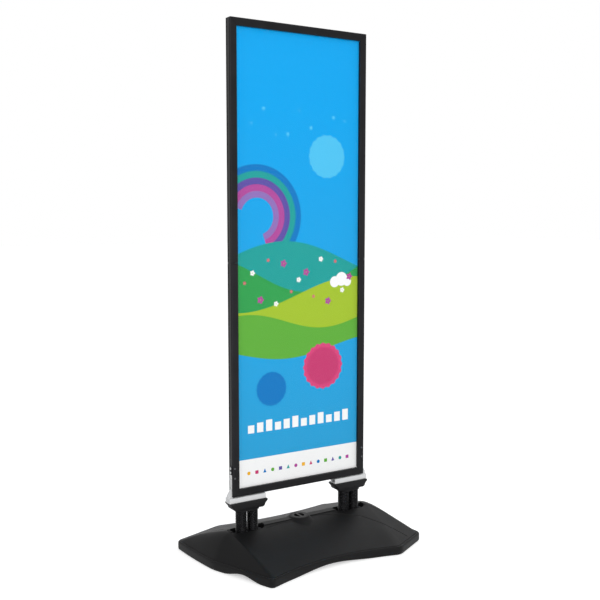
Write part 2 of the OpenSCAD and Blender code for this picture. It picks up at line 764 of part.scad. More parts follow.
// A snap rail for the side at depth +Y: plate, arm, bead and pressing lip.
// x0 and x1 are its ends along the bar; a mitred end is cut by the mitre block.
module rail(length, x0, x1, mitre0, mitre1) {
  b0 = x0 + (mitre0 ? bead_short : 0);
  b1 = x1 - (mitre1 ? bead_short : 0);
  l0 = x0 + (mitre0 ? rail_w + lip_short : 0);
  l1 = x1 - (mitre1 ? rail_w + lip_short : 0);
  intersection() {
    translate([x0, plate_back, rail_edge]) cube([x1 - x0, rail_t, rail_w - rail_edge]);
    mitre_block(length, mitre_gap);
  }
  translate([b0, bead_v, bead_u - arm_t / 2]) cube([b1 - b0, half_d - bead_v - rail_t / 2, arm_t]);
  translate([b0, bead_v, bead_u]) rotate([0, 90, 0]) cylinder(r = bead_r, h = b1 - b0);
  translate([l0, cover_face + soft_gap, rail_w - lip_t])
    cube([l1 - l0, half_d - rail_t / 2 - cover_face - soft_gap, lip_t]);
}

module to_side(s) { mirror([0, s > 0 ? 0 : 1, 0]) children(); }
module rail_color() { color("#303133") children(); }
module rail_across(s) { rail_color() to_side(s) rail(frame_w, -frame_w / 2, frame_w / 2, true, true); }
// Along a left side the bar runs downwards, so its upper half is negative
module rail_upper(s) { rail_color() to_side(s) rail(frame_h, -frame_h / 2, -side_split / 2, true, false); }
module rail_lower(s) {
  rail_color() to_side(s) difference() {
    rail(frame_h, side_split / 2, frame_h / 2, false, true);
    rivet_places() cylinder(r = rivet_r + run_gap, h = frame_d);
  }
}
module rivet_places() {
  for (z = rivet_zs) translate([frame_h / 2 - z, 0, rivet_u]) rotate([-90, 0, 0]) children();
}

module front_rail_top() { on_top() rail_across(-1); }
module front_rail_bottom() { on_bottom() rail_across(-1); }
module front_rail_left_upper() { on_left() rail_upper(-1); }
module front_rail_left_lower() { on_left() rail_lower(-1); }
module front_rail_right_upper() { on_right() rail_upper(-1); }
module front_rail_right_lower() { on_right() rail_lower(-1); }
module back_rail_top() { on_top() rail_across(1); }
module back_rail_bottom() { on_bottom() rail_across(1); }
module back_rail_left_upper() { on_left() rail_upper(1); }
module back_rail_left_lower() { on_left() rail_lower(1); }
module back_rail_right_upper() { on_right() rail_upper(1); }
module back_rail_right_lower() { on_right() rail_lower(1); }

module rivets(s) {
  color("#8f9194") to_side(s) rivet_places() {
    translate([0, 0, half_d]) cylinder(r = rivet_head_r, h = rivet_head_h);
    translate([0, 0, plate_back - rivet_head_h]) cylinder(r = rivet_r, h = rail_t + rivet_head_h);
    translate([0, 0, plate_back - rivet_head_h]) cylinder(r = rivet_tail_r, h = rivet_head_h);
  }
}
module rivets_front_left() { on_left() rivets(-1); }
module rivets_front_right() { on_right() rivets(-1); }
module rivets_back_left() { on_left() rivets(1); }
module rivets_back_right() { on_right() rivets(1); }

// Bent leaf that stands on the extrusion and presses the open rail over centre
module leaf_section() {
  polygon([
    [leaf_u, tube_d / 2], [leaf_u + leaf_w, tube_d / 2],
    [leaf_u + leaf_w, tube_d / 2 + leaf_t], [leaf_u + leaf_foot, tube_d / 2 + leaf_t],
    [leaf_u + leaf_foot + leaf_t, tube_d / 2 + leaf_rise],
    [leaf_u + leaf_t, tube_d / 2 + leaf_rise], [leaf_u, tube_d / 2 + leaf_t]
  ]);
}
module leaves(length, count) {
  span = length - 2 * leaf_margin;
  for (i = [0 : count - 1]) translate([-span / 2 + span * i / (count - 1), 0, 0])
    bar(leaf_len) turn_section() leaf_section();
}
module leaf_springs(s) {
  color("#b9bcbf") {
    on_top() to_side(s) leaves(frame_w, leaf_bar_count);
    on_bottom() to_side(s) leaves(frame_w, leaf_bar_count);
    on_left() to_side(s) leaves(frame_h, 2 * leaf_bar_count);
    on_right() to_side(s) leaves(frame_h, 2 * leaf_bar_count);
  }
}
module leaf_springs_front() { leaf_springs(-1); }
module leaf_springs_back() { leaf_springs(1); }

base_tank();
ballast_water();
filler_cap();
filler_seal();
foot_plate_left();
foot_plate_right();
foot_bolts();
foot_washers();
foot_inserts();
lower_plugs();
lower_plug_bolts();
upper_plugs();
head_bolts();
spring_left_outer();
spring_left_inner();
spring_right_inner();
spring_right_outer();
spring_head_left();
spring_head_right();
bracket_left();
bracket_right();
bracket_screws();
strap_screws();
clamp_plate_left();
clamp_plate_right();
clamp_screws();
frame_top();
frame_bottom();
frame_left();
frame_right();
corner_keys();
backing_board();
poster_front();
poster_back();
cover_front();
cover_back();
front_rail_top();
front_rail_bottom();
front_rail_left_upper();
front_rail_left_lower();
front_rail_right_upper();
front_rail_right_lower();
back_rail_top();
back_rail_bottom();
back_rail_left_upper();
back_rail_left_lower();
back_rail_right_upper();
back_rail_right_lower();
rivets_front_left();
rivets_front_right();
rivets_back_left();
rivets_back_right();
leaf_springs_front();
leaf_springs_back();
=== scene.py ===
import math

import bmesh
import bpy
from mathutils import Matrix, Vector
from mathutils.bvhtree import BVHTree


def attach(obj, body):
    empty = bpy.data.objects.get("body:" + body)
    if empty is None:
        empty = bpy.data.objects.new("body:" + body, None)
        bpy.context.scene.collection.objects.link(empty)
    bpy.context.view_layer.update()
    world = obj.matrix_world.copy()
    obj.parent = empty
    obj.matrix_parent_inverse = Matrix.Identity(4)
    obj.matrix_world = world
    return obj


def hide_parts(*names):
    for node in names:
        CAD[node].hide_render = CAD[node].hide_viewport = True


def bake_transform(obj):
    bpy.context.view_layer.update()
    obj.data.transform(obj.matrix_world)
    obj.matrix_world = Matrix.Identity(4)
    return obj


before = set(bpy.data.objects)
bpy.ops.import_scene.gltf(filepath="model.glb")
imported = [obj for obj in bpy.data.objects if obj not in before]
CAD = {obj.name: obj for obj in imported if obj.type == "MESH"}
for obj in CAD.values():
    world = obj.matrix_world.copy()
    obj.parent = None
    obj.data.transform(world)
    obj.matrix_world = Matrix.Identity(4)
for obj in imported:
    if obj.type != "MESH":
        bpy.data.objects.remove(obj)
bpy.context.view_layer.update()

# Sizes are in mm: +X to the right of the front poster, -Y to the front, Z up from the ground
MM = 0.001
# -1 and 1 stand for left and right along X, and for front and back along Y
SIDES = (-1, 1)
FACES = (("front", -1), ("back", 1))
ENDS = (("left", -1), ("right", 1))

# Panel
VIEW_W, VIEW_H, RAIL_W = 480, 1500, 25
FRAME_Z = 212
FRAME_W, FRAME_H = VIEW_W + 2 * RAIL_W, VIEW_H + 2 * RAIL_W
MID_Z = FRAME_Z + FRAME_H / 2
HALF_DEPTH = 14
SHEET_W, SHEET_H = 496.4, 1516.4
POSTER_BACK, POSTER_FACE, COVER_BACK, COVER_FACE = 2.0, 2.4, 2.62, 3.2

# Springs and heads
LEG_X, SPRING_APART = 207, 43
SPRING_R, WIRE_R = 16.6, 2.5
SPRING_Z0, SPRING_Z1, CURLS = 79, 172, 16
HEAD_Z, HEAD_H, HEAD_D, HEAD_LEN, HEAD_LOW = 167, 26, 48, 138, 118
HEAD_ROUND, HEAD_RAKE_H, HEAD_EDGE = 10, 5, 2.2
NECK_LEN, NECK_W, NECK_H = 88, 46, 7
SOCKET_R, SOCKET_TOP = 19.2, 172.2

# Base: its eight corners, and how far each side curves in or arches up
FRONT_LEFT_FOOT, FRONT_RIGHT_FOOT, FRONT_RIGHT_TIP = (-270, -283), (238, -273), (382, -197)
BACK_RIGHT_TIP, BACK_RIGHT_FOOT, BACK_LEFT_FOOT = (382, 182), (262, 243), (-196, 243)
BACK_LEFT_TIP, FRONT_LEFT_TIP = (-382, 182), (-362, -52)
FRONT_SAG, BACK_SAG, RIGHT_SAG, LEFT_SAG = 44, 22, 6, -4
SIDE_ARCH, END_ARCH = 10, 14
SIDE_START, CORNER_CUT, FLAT_SHARE = 20, 16, 0.17
RIM_H, RIDGE_H, SHOULDER_IN = 29, 99, 11
RIDGE_HALF_L, RIDGE_HALF_W, RIDGE_FROM_X, RIDGE_FROM_Y = 276, 13, 240, 182
BROW_DROP, SLOPE_STEPS = 2.5, 15
BULGE_H, END_BULGE, END_BULGE_X, END_BULGE_RUN, END_BULGE_Y = 5, 14, 290, 84, 190
POCKET_LEN, POCKET_W, POCKET_Z = 128, 54, 73
COLLAR_R, CAP_SEAT_R, CAP_SEAT_Z, NECK_BORE_R, NECK_BORE_Z = 35, 26.2, 98, 22, 70
ABOVE_BASE = 120

# The rim's section as (distance inside the edge, height, share of the side's arch that it rises by)
RIM_SECTION = ((60, 2.5, 1), (30, 0, 1), (5.5, 0, 1), (3.4, 0.6, 1), (1.7, 2.2, 1), (0.8, 4.6, 1),
               (0.5, 9, 0.75), (0.5, 16, 0.35), (0.5, 22.5, 0), (0.8, 25.4, 0), (1.9, 27.6, 0),
               (3.6, 28.8, 0), (5.4, 29.0, 0), (6.8, 28.2, 0), (8.6, 27.8, 0), (10.4, 28.6, 0))
# The ridge's rounded edge as (distance in, drop), and the collar's skirt as (distance out, height)
BROW_SECTION = ((0, 2.5), (1.2, 1.3), (3.2, 0.4), (6, 0))
COLLAR_SECTION = ((34, 79), (17, 89.3), (9, 94.3), (4, 97.9), (1.2, 100.4), (0.3, 101.6), (-0.4, 102.5),
                  (-1.6, 103))
# Lines moulded into the deck, in plan; the first two are there again half a turn round
DECK_SWEEP = ((30, -16), (70, -19), (130, -34), (180, -58), (212, -80), (240, -120), (292, -192), (308, -216))
DECK_BROW = ((148, 30), (110, 24), (70, 22), (38, 26))
HIP_CREASE = ((-272, 44), (-298, 84), (-330, 130), (-352, 158))
SWEEP_R, BROW_R, HIP_R, GROOVE_PROUD = 2.0, 1.5, 2.2, 0.35

# Edges wear unevenly, and on the spring wire the same edge tone is a painted highlight: how ragged its line
# is, how far it fades and how strong it gets
RAGGED, WEAR_AND_GLINT_FADE, WEAR_AND_GLINT_MOST = 0.04, 0.1, 0.6
# The printed sky fades between these heights, over paper fibre of this size
FADE_FOOT, FADE_TOP, FIBRE_MM = 240, 1500, 20
SKY_FOOT_TONES, SKY_TOP_TONES = ("#2ba3d9", "#2ea5da"), ("#00a6ef", "#02a8f1")
# How wide and how deep the clear film ripples, and how far its middle bows in
RIPPLE_MM, RIPPLE_DEEP, FILM_BOW = 180, 2, 0.25
# A Mix node's two colour sockets and its colour result
MIX_A, MIX_B, MIXED = 6, 7, 2


def linear(hex_colour):
    """sRGB hex to linear colour."""
    parts = [int(hex_colour[i:i + 2], 16) / 255 for i in (1, 3, 5)]
    return tuple(c / 12.92 if c <= 0.04045 else ((c + 0.055) / 1.055) ** 2.4 for c in parts) + (1.0,)


def add(tree, kind, settings=None, links=None):
    """One node with its settings and links; a socket is named or numbered."""
    node = tree.nodes.new(kind)
    for key, value in (settings or {}).items():
        if isinstance(key, int) or key in node.inputs:
            node.inputs[key].default_value = value
        else:
            setattr(node, key, value)
    for key, source in (links or {}).items():
        tree.links.new(source, node.inputs[key])
    return node


def finish_of(name, colour, second, rough, rough_spread, mottle_mm, grain_mm, grain_depth,
              wear_and_painted_glint=None, wear_and_glint_from=0.54, metallic=0.0, ior=1.5, gloss=0.5):
    """A made surface: two close tones in patches, a fine grain in the bump, sharp edges turned to a third
    tone that is wear on most finishes and a painted highlight on the spring wire's curls.
    Most real grain here is too fine to show, so grain_mm is drawn as coarse as it needs to show."""
    material = bpy.data.materials.new(name)
    material.use_nodes = True
    tree = material.node_tree
    shell = tree.nodes["Principled BSDF"]
    shell.inputs["Metallic"].default_value = metallic
    if metallic < 0.5:
        shell.inputs["IOR"].default_value = ior
        shell.inputs["Specular IOR Level"].default_value = gloss
    place = add(tree, "ShaderNodeTexCoord").outputs["Object"]
    patches = add(tree, "ShaderNodeTexNoise", {"Scale": 1 / (mottle_mm * MM), "Detail": 4.0},
                  {"Vector": place}).outputs[0]
    tone = add(tree, "ShaderNodeMix", {"data_type": "RGBA", MIX_A: linear(colour), MIX_B: linear(second)},
               {0: patches}).outputs[MIXED]
    grain = add(tree, "ShaderNodeTexNoise", {"Scale": 1 / (grain_mm * MM), "Detail": 3.0, "Roughness": 0.6},
                {"Vector": place}).outputs[0]
    # Convex edges take a third tone: wear on most finishes, a painted highlight on the spring wire
    if wear_and_painted_glint:
        edge = add(tree, "ShaderNodeNewGeometry").outputs["Pointiness"]
        ragged = add(tree, "ShaderNodeMath", {"operation": "MULTIPLY_ADD", 1: RAGGED, 2: -RAGGED / 2},
                     {0: patches}).outputs[0]
        where = add(tree, "ShaderNodeMath", {"operation": "ADD"}, {0: edge, 1: ragged}).outputs[0]
        share = add(tree, "ShaderNodeMapRange",
                    {"From Min": wear_and_glint_from, "From Max": wear_and_glint_from + WEAR_AND_GLINT_FADE, "To Max": WEAR_AND_GLINT_MOST},
                    {"Value": where}).outputs[0]
        tone = add(tree, "ShaderNodeMix", {"data_type": "RGBA", MIX_B: linear(wear_and_painted_glint)},
                   {0: share, MIX_A: tone}).outputs[MIXED]
    tree.links.new(tone, shell.inputs["Base Color"])
    matt = add(tree, "ShaderNodeMapRange", {"To Min": rough - rough_spread, "To Max": rough + rough_spread},
               {"Value": patches}).outputs[0]
    tree.links.new(matt, shell.inputs["Roughness"])
    bump = add(tree, "ShaderNodeBump", {"Distance": grain_depth * MM, "Strength": 0.8},
               {"Height": grain}).outputs[0]
    tree.links.new(bump, shell.inputs["Normal"])
    return material


# Rotomoulded polyethylene: waxy black that goes grey where light rakes it, with a sandy grain. It and the
# other black plastics are written darker than they look, as their sheen adds the rest.
POLYETHYLENE = finish_of("rotomoulded_polyethylene", "#0c0c0d", "#121213", 0.5, 0.07, 45, 1.6, 0.16,
                         wear_and_painted_glint="#2c2c2e", gloss=0.14)
# Injection-moulded polypropylene of the cap: black, a little smoother than the tank
CAP_PLASTIC = finish_of("injection_moulded_polypropylene", "#0b0b0c", "#101011", 0.42, 0.05, 20, 0.8, 0.05,
                        wear_and_painted_glint="#2a2a2c", gloss=0.16)
# Glass-filled nylon from a spark-eroded mould: dead black with a coarse even grain
NYLON = finish_of("glass_filled_nylon", "#0e0e0f", "#161618", 0.55, 0.08, 6, 1.3, 0.28,
                  wear_and_painted_glint="#2c2c2e", gloss=0.2)
# EPDM rubber: flat grey-black, a trace of mould talc
SEAL_RUBBER = finish_of("epdm_rubber", "#232323", "#2f2f2e", 0.8, 0.05, 5, 0.5, 0.03)
# Black phosphated spring wire: oily charcoal with a tight glint on every curl
# The glint is partly its gloss and partly the pale edge tone, a painted highlight on the curls' crests
SPRING_WIRE = finish_of("phosphated_spring_wire", "#0f0f11", "#19191b", 0.27, 0.06, 3, 0.5, 0.04,
                        metallic=0.8, wear_and_painted_glint="#6a6b6f", wear_and_glint_from=0.56)
# Powder-coated steel in light grey: satin with the soft orange peel of baked powder
POWDER_COAT = finish_of("powder_coated_steel", "#d0d1d3", "#dadbdc", 0.42, 0.04, 60, 1.8, 0.07,
                        wear_and_painted_glint="#eceded")
# Black anodised aluminium of the snap rails: even charcoal satin, rubbed paler on its edges
RAIL_BLACK = finish_of("black_anodised_aluminium", "#161618", "#1b1b1d", 0.42, 0.04, 70, 2.2, 0.02,
                       metallic=0.35, wear_and_painted_glint="#3e3e42", wear_and_glint_from=0.55, gloss=0.15)
# Mill extrusion anodised in the same bath: written darker than the rails as painted shade, since it sits in
# their shade
TUBE_BLACK = finish_of("black_anodised_extrusion", "#0e0e10", "#151517", 0.4, 0.05, 50, 1.8, 0.02,
                       metallic=0.4, gloss=0.25)
# Black zinc on sheet steel: nearly black with a blue drift
CLAMP_BLACK = finish_of("black_zinc_plate", "#161618", "#222228", 0.36, 0.08, 9, 0.7, 0.02,
                        metallic=0.7, wear_and_painted_glint="#77787c")
# Bright zinc plate: silver with a cloudy blue-yellow bloom
BRIGHT_ZINC = finish_of("bright_zinc_plate", "#b7babd", "#a5a7a4", 0.3, 0.1, 7, 0.8, 0.02,
                        metallic=1.0, wear_and_painted_glint="#d9dbdd")
# Black-washed steel of the rivets: dull grey where the wash has rubbed off the dome
RIVET_STEEL = finish_of("washed_rivet_steel", "#4c4d50", "#5d5e61", 0.42, 0.08, 3, 0.5, 0.03,
                        metallic=0.85, wear_and_painted_glint="#7b7c80")
# Hot-rolled steel under clear passivate: duller grey, mill cloud
FOOT_STEEL = finish_of("passivated_steel_plate", "#6f7174", "#5d5f62", 0.45, 0.1, 18, 0.9, 0.04,
                       metallic=0.9, wear_and_painted_glint="#a0a2a5")
# Oiled bolt steel: dark, with bright rubbed corners
BOLT_STEEL = finish_of("oiled_bolt_steel", "#34353a", "#28292c", 0.38, 0.1, 6, 0.6, 0.03,
                       metallic=0.9, wear_and_painted_glint="#8a8b8e")
# Turned brass of the inserts: yellow with duller patches
BRASS = finish_of("turned_brass", "#b08d3f", "#9a7a38", 0.32, 0.08, 5, 0.4, 0.03, metallic=1.0)
# Cold-rolled leaf spring strip: clean silver-grey
LEAF_STEEL = finish_of("rolled_spring_strip", "#a9acb0", "#96999d", 0.28, 0.08, 12, 0.6, 0.02, metallic=1.0)
# Foamed PVC sheet: milky white with a soft wide grain
BOARD = finish_of("foamed_pvc_sheet", "#e6e6e2", "#dcdcd8", 0.5, 0.05, 30, 4.0, 0.1)
# Offset paper: soft white with a faint fibre
PAPER = finish_of("coated_poster_paper", "#f8f9f9", "#f3f4f4", 0.45, 0.03, 14, 0.9, 0.01)
# Tap water in the tank: clear grey-blue, here a closed solid
WATER = finish_of("ballast_water", "#6d93a3", "#7fa5b3", 0.05, 0.02, 80, 30, 0.2, ior=1.33)


def ink(name, colour, second):
    """Offset ink on coated paper: flat and clean, slightly uneven at the size of the paper's fibre."""
    return finish_of("offset_ink_" + name, colour, second, 0.6, 0.03, 26, 0.9, 0.008, gloss=0.0)


def graded_sky():
    """Offset ink laid as a vertical fade: bright sky blue that softens towards the foot of the sheet."""
    material = ink("sky", "#00a6ef", "#03a8ef")
    tree, shell = material.node_tree, material.node_tree.nodes["Principled BSDF"]
    place = add(tree, "ShaderNodeTexCoord").outputs["Object"]
    height = add(tree, "ShaderNodeSeparateXYZ", None, {0: place}).outputs["Z"]
    share = add(tree, "ShaderNodeMapRange", {"From Min": FADE_FOOT * MM, "From Max": FADE_TOP * MM},
                {"Value": height}).outputs[0]
    fibre = add(tree, "ShaderNodeTexNoise", {"Scale": 1 / (FIBRE_MM * MM)}, {"Vector": place}).outputs[0]
    foot, top = [add(tree, "ShaderNodeMix", {"data_type": "RGBA", MIX_A: linear(one), MIX_B: linear(other)},
                     {0: fibre}).outputs[MIXED] for one, other in (SKY_FOOT_TONES, SKY_TOP_TONES)]
    fade = add(tree, "ShaderNodeMix", {"data_type": "RGBA"},
               {0: share, MIX_A: foot, MIX_B: top}).outputs[MIXED]
    tree.links.new(fade, shell.inputs["Base Color"])
    return material


def clear_film():
    """Calendered clear PVC film: seen only as a faint sheen that ripples where the film is not flat."""
    material = bpy.data.materials.new("clear_pvc_film")
    material.use_nodes = True
    tree, shell = material.node_tree, material.node_tree.nodes["Principled BSDF"]
    shell.inputs["Base Color"].default_value = linear("#c8d6dc")
    shell.inputs["IOR"].default_value = 1.5
    shell.inputs["Alpha"].default_value = 0.012
    shell.inputs["Specular IOR Level"].default_value = 0.2
    place = add(tree, "ShaderNodeTexCoord").outputs["Object"]
    ripple = add(tree, "ShaderNodeTexNoise", {"Scale": 1 / (RIPPLE_MM * MM), "Detail": 1.0},
                 {"Vector": place}).outputs[0]
    bump = add(tree, "ShaderNodeBump", {"Distance": RIPPLE_DEEP * MM, "Strength": 0.4},
               {"Height": ripple}).outputs[0]
    tree.links.new(bump, shell.inputs["Normal"])
    smear = add(tree, "ShaderNodeMapRange", {"To Min": 0.06, "To Max": 0.12}, {"Value": ripple}).outputs[0]
    tree.links.new(smear, shell.inputs["Roughness"])
    return material


CLEAR_FILM = clear_film()


# Meshes
def piece(name, points, faces, finishes, body, slot=None, stands_for=(), smooth=32, face_finish=None):
    """One mesh of points in mm, riding on a CAD body."""
    mesh = bpy.data.meshes.new(name)
    mesh.from_pydata([tuple(c * MM for c in p) for p in points], [], [tuple(f) for f in faces])
    for finish in finishes if isinstance(finishes, (list, tuple)) else [finishes]:
        mesh.materials.append(finish)
    if face_finish:
        mesh.polygons.foreach_set("material_index", face_finish)
    obj = bpy.data.objects.new(name, mesh)
    bpy.context.scene.collection.objects.link(obj)
    outward(obj, smooth)
    if body:
        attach(obj, body)
    if stands_for:
        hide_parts(*stands_for)
    return obj


def outward(obj, smooth):
    """Faces turned outwards, edges sharper than the angle kept sharp."""
    work = bmesh.new()
    work.from_mesh(obj.data)
    bmesh.ops.recalc_face_normals(work, faces=work.faces)
    work.to_mesh(obj.data)
    work.free()
    obj.data.polygons.foreach_set("use_smooth", [True] * len(obj.data.polygons))
    obj.data.set_sharp_from_angle(angle=math.radians(smooth))


def rounded(obj, width, angle=40, segments=2):
    """A small round on the edges that are sharper than the angle."""
    round_off = obj.modifiers.new("edge_round", "BEVEL")
    round_off.width = width * MM
    round_off.segments = segments
    round_off.limit_method = "ANGLE"
    round_off.angle_limit = math.radians(angle)


def settle(obj):
    """Makes the object's mesh what its modifiers show."""
    bpy.context.view_layer.update()
    made = bpy.data.meshes.new_from_object(obj.evaluated_get(bpy.context.evaluated_depsgraph_get()))
    obj.modifiers.clear()
    obj.data = made


def carved(obj, tools, how="DIFFERENCE", smooth=32):
    """obj cut by, or joined with, solid tools, which are then gone."""
    for tool in tools:
        cut = obj.modifiers.new("cut", "BOOLEAN")
        cut.operation, cut.solver, cut.object = how, "EXACT", tool
    settle(obj)
    for tool in tools:
        bpy.data.objects.remove(tool)
    outward(obj, smooth)


def loft(rings):
    """Points and faces of a skin over closed rings of equal count, capped at both ends."""
    n = len(rings[0])
    points = [p for ring in rings for p in ring]
    faces = [(j * n + i, j * n + (i + 1) % n, (j + 1) * n + (i + 1) % n, (j + 1) * n + i)
             for j in range(len(rings) - 1) for i in range(n)]
    faces.append(tuple(range(n - 1, -1, -1)))
    faces.append(tuple((len(rings) - 1) * n + i for i in range(n)))
    return points, faces


def oval_ring(length, width, z, at=0, steps=20):
    """A ring of an oval that lies lengthwise along X."""
    half, r = (length - width) / 2, width / 2
    ring = []
    for side, start in ((1, -90), (-1, 90)):
        for k in range(steps + 1):
            a = math.radians(start + 180 * k / steps)
            ring.append((at + side * half + r * math.cos(a), r * math.sin(a), z))
    return ring


def disc_ring(r, z, at=(0, 0), steps=64):
    """A round ring."""
    turns = [2 * math.pi * k / steps for k in range(steps)]
    return [(at[0] + r * math.cos(a), at[1] + r * math.sin(a), z) for a in turns]


def tube_along(path, r, sides=10):
    """Points and faces of a round wire along a path."""
    rings = []
    before = None
    for i, p in enumerate(path):
        a, b = path[max(i - 1, 0)], path[min(i + 1, len(path) - 1)]
        way = (Vector(b) - Vector(a)).normalized()
        if before is None:
            before = way.orthogonal().normalized()
        out = (before - way * before.dot(way)).normalized()
        side = way.cross(out)
        before = out
        turns = [2 * math.pi * k / sides for k in range(sides)]
        rings.append([tuple(Vector(p) + (out * math.cos(a) + side * math.sin(a)) * r) for a in turns])
    return loft(rings)


def joined(parts):
    """Several (points, faces) as one."""
    points, faces = [], []
    for p, f in parts:
        start = len(points)
        points += list(p)
        faces += [tuple(i + start for i in face) for face in f]
    return points, faces


# Moulded base
def ease(t):
    """A smooth step from 0 to 1."""
    return t * t * (3 - 2 * t)


def bow(t):
    """A bow that is 0 at both ends and 1 in the middle."""
    return 4 * t * (1 - t)


def arch_share(t):
    """How much of its arch a side has at share t of its length; its ends stand flat on the ground."""
    return ease(max(0.0, min(1.0, (min(t, 1 - t) - FLAT_SHARE) / (0.5 - FLAT_SHARE))))


def inward(corner, d, kx, ky):
    """A corner moved towards the middle by its own shares of d."""
    return (corner[0] - math.copysign(d * kx, corner[0]), corner[1] - math.copysign(d * ky, corner[1]))


def side_run(a, b, sag, arch, count):
    """Points along one side of the base, curved in by sag and with its foot arched; both corners left out."""
    along = Vector(b) - Vector(a)
    inside = Vector((-along.y, along.x)).normalized()
    reach = SIDE_START / along.length
    run = []
    for i in range(count + 1):
        t = reach + (1 - 2 * reach) * i / count
        p = Vector(a) + along * t + inside * sag * bow(t)
        run.append((p.x, p.y, arch * arch_share(t)))
    return run


def round_corner(before, corner, after, cut=CORNER_CUT, steps=6):
    """The corner as a smooth bend that starts and ends a cut away from it."""
    b, c, a = Vector(before), Vector((*corner, 0)), Vector(after)
    p, q = c + (b - c).normalized() * cut, c + (a - c).normalized() * cut
    return [tuple(p.lerp(c, k / steps).lerp(c.lerp(q, k / steps), k / steps)) for k in range(steps + 1)]


def outline(d):
    """The base's plan at a distance d inside its edge, from the front-left foot round to the left end."""
    feet, tips = (0.5, 1), (1, 0.5)
    corners = [inward(c, d, *k) for c, k in
               ((FRONT_LEFT_FOOT, feet), (FRONT_RIGHT_FOOT, feet), (FRONT_RIGHT_TIP, tips),
                (BACK_RIGHT_TIP, tips), (BACK_RIGHT_FOOT, feet), (BACK_LEFT_FOOT, feet),
                (BACK_LEFT_TIP, tips), (FRONT_LEFT_TIP, tips))]
    sides = [(FRONT_SAG, SIDE_ARCH, 44), (0, 0, 4), (RIGHT_SAG, END_ARCH, 26), (0, 0, 4),
             (BACK_SAG, SIDE_ARCH, 44), (0, 0, 6), (LEFT_SAG, 0, 20), (0, END_ARCH, 20)]
    runs = [side_run(corners[i], corners[(i + 1) % 8], *sides[i]) for i in range(8)]
    ring = []
    for i in range(8):
        ring += round_corner(runs[i - 1][-1], corners[i], runs[i][0]) + runs[i]
    return ring


def clamp(v):
    """A value kept between -1 and 1."""
    return max(-1.0, min(1.0, v))


def ridge_ring(ring, inset=0):
    """The flat ridge's edge, point for point with the outline."""
    half_l, half_w = RIDGE_HALF_L - inset, RIDGE_HALF_W * (1 - inset / RIDGE_HALF_L)
    return [(clamp(x / RIDGE_FROM_X) * half_l, clamp(y / RIDGE_FROM_Y) * half_w) for x, y, _ in ring]


def pillow(x, y):
    """How far a slope swells between its creases: little on the long sides, more on the two ends."""
    end = min(1.0, max(0.0, abs(x) - END_BULGE_X) / END_BULGE_RUN)
    return BULGE_H + END_BULGE * end * max(0.0, 1 - (y / END_BULGE_Y) ** 2)


def tank_rings():
    """Rings of the shell: underside, wall with its rounded foot, lip with a shallow gutter, slopes, ridge."""
    rings = [[(x, y, z + rise * share) for x, y, rise in outline(d)] for d, z, share in RIM_SECTION]
    shoulder = outline(SHOULDER_IN)
    ridge = ridge_ring(shoulder)
    low, top = RIM_H + 1, RIDGE_H - BROW_DROP
    for k in range(SLOPE_STEPS):
        share = k / SLOPE_STEPS
        rings.append([(x + (rx - x) * share, y + (ry - y) * share,
                       low + (top - low) * share + pillow(x, y) * bow(share))
                      for (x, y, _), (rx, ry) in zip(shoulder, ridge)])
    for inset, drop in BROW_SECTION:
        rings.append([(x, y, RIDGE_H - drop) for x, y in ridge_ring(shoulder, inset)])
    return rings


def surface_height(obj):
    """A function that gives the height of the shell's top at x, y, in mm."""
    tree = BVHTree.FromPolygons([v.co for v in obj.data.vertices],
                                [tuple(p.vertices) for p in obj.data.polygons])

    def height(x, y):
        hit = tree.ray_cast(Vector((x * MM, y * MM, ABOVE_BASE * MM)), Vector((0, 0, -1)))[0]
        return hit.z / MM if hit else 0
    return height


def curve_through(points, steps=10):
    """A smooth path through points in the plan."""
    path = []
    for i in range(len(points) - 1):
        p0, p1 = points[max(i - 1, 0)], points[i]
        p2, p3 = points[i + 1], points[min(i + 2, len(points) - 1)]
        for k in range(steps):
            t = k / steps
            path.append(tuple(0.5 * (2 * b + (c - a) * t + (2 * a - 5 * b + 4 * c - d) * t * t
                                     + (3 * b - a - 3 * c + d) * t ** 3)
                              for a, b, c, d in zip(p0, p1, p2, p3)))
    return path + [points[-1]]


def groove_tool(name, plan, height, r):
    """A round cutter that follows the shell's surface and leaves a shallow channel."""
    path = [(x, y, height(x, y) + r * GROOVE_PROUD) for x, y in curve_through(plan)]
    return piece(name, *tube_along(path, r, 8), POLYETHYLENE, None)


def make_base():
    """The moulded tank: lofted shell, collar on the ridge, pockets, filler bore, deck lines, a hip crease."""
    shell = piece("moulded_tank", *loft(tank_rings()), POLYETHYLENE, None, smooth=40)
    height = surface_height(shell)
    skirt = [disc_ring(COLLAR_R + wide, z) for wide, z in COLLAR_SECTION]
    carved(shell, [piece("collar_tool", *loft(skirt), POLYETHYLENE, None)], "UNION")
    cuts = []
    for side in SIDES:
        well = [oval_ring(POCKET_LEN, POCKET_W, z, side * LEG_X) for z in (POCKET_Z, ABOVE_BASE)]
        cuts.append(piece("pocket_tool", *loft(well), POLYETHYLENE, None))
    seat = [disc_ring(r, z) for r, z in ((NECK_BORE_R, NECK_BORE_Z), (NECK_BORE_R, CAP_SEAT_Z),
                                         (CAP_SEAT_R, CAP_SEAT_Z), (CAP_SEAT_R, ABOVE_BASE))]
    cuts.append(piece("bore_tool", *loft(seat), POLYETHYLENE, None))
    for turn in SIDES:
        for name, plan, r in (("sweep_tool", DECK_SWEEP, SWEEP_R), ("brow_tool", DECK_BROW, BROW_R)):
            cuts.append(groove_tool(name, [(x * turn, y * turn) for x, y in plan], height, r))
    cuts.append(groove_tool("hip_tool", HIP_CREASE, height, HIP_R))
    carved(shell, cuts)
    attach(shell, "base")
    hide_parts("base_tank")


